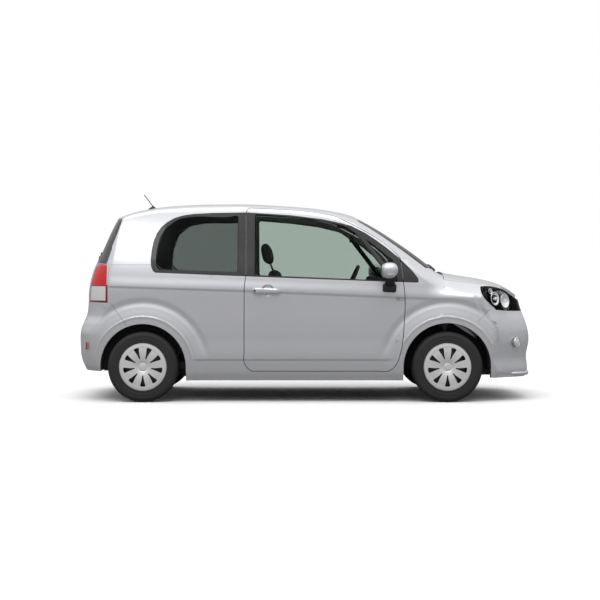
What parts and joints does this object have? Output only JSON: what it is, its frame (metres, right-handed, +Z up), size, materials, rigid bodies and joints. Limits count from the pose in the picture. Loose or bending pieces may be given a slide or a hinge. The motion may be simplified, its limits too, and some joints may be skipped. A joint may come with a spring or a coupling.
{
  "type": "compact minivan",
  "caption": "Compact minivan with a hollow cabin, hinged doors, hood and tailgate, steered front wheels and free-turning road wheels.",
  "frame": {"origin": "on the ground under the centre of the vehicle", "axes": "+X forward, +Z up, -Y is the right side"},
  "size_m": [3.9958, 2.08, 1.8397],
  "materials": {
    "body_paint": "metallic",
    "window_glass": "clear",
    "privacy_glass": "tinted",
    "lamp_lens": "clear",
    "tail_lens": "gloss",
    "chassis_black": "satin",
    "cast_metal": "rough",
    "black_plastic": "matte",
    "exhaust_steel": "satin",
    "cabin_plastic": "matte",
    "seat_fabric": "woven",
    "tyre_rubber": "matte",
    "wheel_steel": "satin",
    "cover_silver": "silver"
  },
  "bodies": {
    "body": {"underbody": "body_paint", "side_panel_right": "body_paint", "side_panel_left": "body_paint", "roof_panel": "body_paint", "front_fenders": "body_paint", "front_bumper": "body_paint", "rear_bumper": "body_paint", "windshield": "window_glass", "quarter_glass": "privacy_glass", "headlamps": "lamp_lens", "tail_lamps": "tail_lens", "front_subframe": "chassis_black", "rear_axle_beam": "chassis_black", "engine": "cast_metal", "fuel_tank": "black_plastic", "exhaust": "exhaust_steel", "dashboard": "cabin_plastic", "front_seats": "seat_fabric", "rear_seat": "seat_fabric", "wipers": "black_plastic", "antenna": "black_plastic"},
    "hood": {"hood": "body_paint"},
    "door_right": {"door_right": "body_paint", "door_glass_right": "window_glass", "mirror_right": "body_paint"},
    "door_left": {"door_left": "body_paint", "door_glass_left": "window_glass", "mirror_left": "body_paint"},
    "tailgate": {"tailgate": "body_paint", "tailgate_glass": "privacy_glass"},
    "knuckle_right": {"knuckle_right": "chassis_black"},
    "knuckle_left": {"knuckle_left": "chassis_black"},
    "steering_wheel": {"steering_wheel": "cabin_plastic"},
    "road_wheel_front_right": {"tyre_front_right": "tyre_rubber", "wheel_front_right": "wheel_steel", "cover_front_right": "cover_silver"},
    "road_wheel_front_left": {"tyre_front_left": "tyre_rubber", "wheel_front_left": "wheel_steel", "cover_front_left": "cover_silver"},
    "road_wheel_rear_right": {"tyre_rear_right": "tyre_rubber", "wheel_rear_right": "wheel_steel", "cover_rear_right": "cover_silver"},
    "road_wheel_rear_left": {"tyre_rear_left": "tyre_rubber", "wheel_rear_left": "wheel_steel", "cover_rear_left": "cover_silver"}
  },
  "joints": [
    {"name": "steer_right", "type": "hinge", "parent": "body", "child": "knuckle_right", "pos_m": [1.2125, -0.69, 0.2], "axis": [0, 0.1961, 0.9806], "range_deg": [-34, 34]},
    {"name": "steer_left", "type": "hinge", "parent": "body", "child": "knuckle_left", "pos_m": [1.2125, 0.69, 0.2], "axis": [0, -0.1961, 0.9806], "range_deg": [-34, 34]},
    {"name": "steering_wheel_turn", "type": "hinge", "parent": "body", "child": "steering_wheel", "pos_m": [0.4, -0.37, 1], "axis": [-0.9135, 0, 0.4067], "range_deg": [-512, 512]},
    {"name": "door_right_swing", "type": "hinge", "parent": "body", "child": "door_right", "pos_m": [0.788, -0.8365, 0.7], "axis": [0, 0, 1], "range_deg": [0, 68]},
    {"name": "door_left_swing", "type": "hinge", "parent": "body", "child": "door_left", "pos_m": [0.788, 0.8365, 0.7], "axis": [0, 0, -1], "range_deg": [0, 68]},
    {"name": "hood_lift", "type": "hinge", "parent": "body", "child": "hood", "pos_m": [1.212, 0, 1.09], "axis": [0, -1, 0], "range_deg": [0, 55]},
    {"name": "tailgate_lift", "type": "hinge", "parent": "body", "child": "tailgate", "pos_m": [-1.54, 0, 1.635], "axis": [0, 1, 0], "range_deg": [0, 80]},
    {"name": "spin_front_right", "type": "hinge", "parent": "knuckle_right", "child": "road_wheel_front_right", "pos_m": [1.2125, -0.74, 0.302], "axis": [0, 1, 0], "continuous": true},
    {"name": "spin_front_left", "type": "hinge", "parent": "knuckle_left", "child": "road_wheel_front_left", "pos_m": [1.2125, 0.74, 0.302], "axis": [0, 1, 0], "continuous": true},
    {"name": "spin_rear_right", "type": "hinge", "parent": "body", "child": "road_wheel_rear_right", "pos_m": [-1.3875, -0.74, 0.302], "axis": [0, 1, 0], "continuous": true},
    {"name": "spin_rear_left", "type": "hinge", "parent": "body", "child": "road_wheel_rear_left", "pos_m": [-1.3875, 0.74, 0.302], "axis": [0, 1, 0], "continuous": true}
  ],
  "couplings": [
    {"joint": "steer_left", "follows": "steer_right", "ratio": 1},
    {"joint": "steering_wheel_turn", "follows": "steer_right", "ratio": 15}
  ]
}
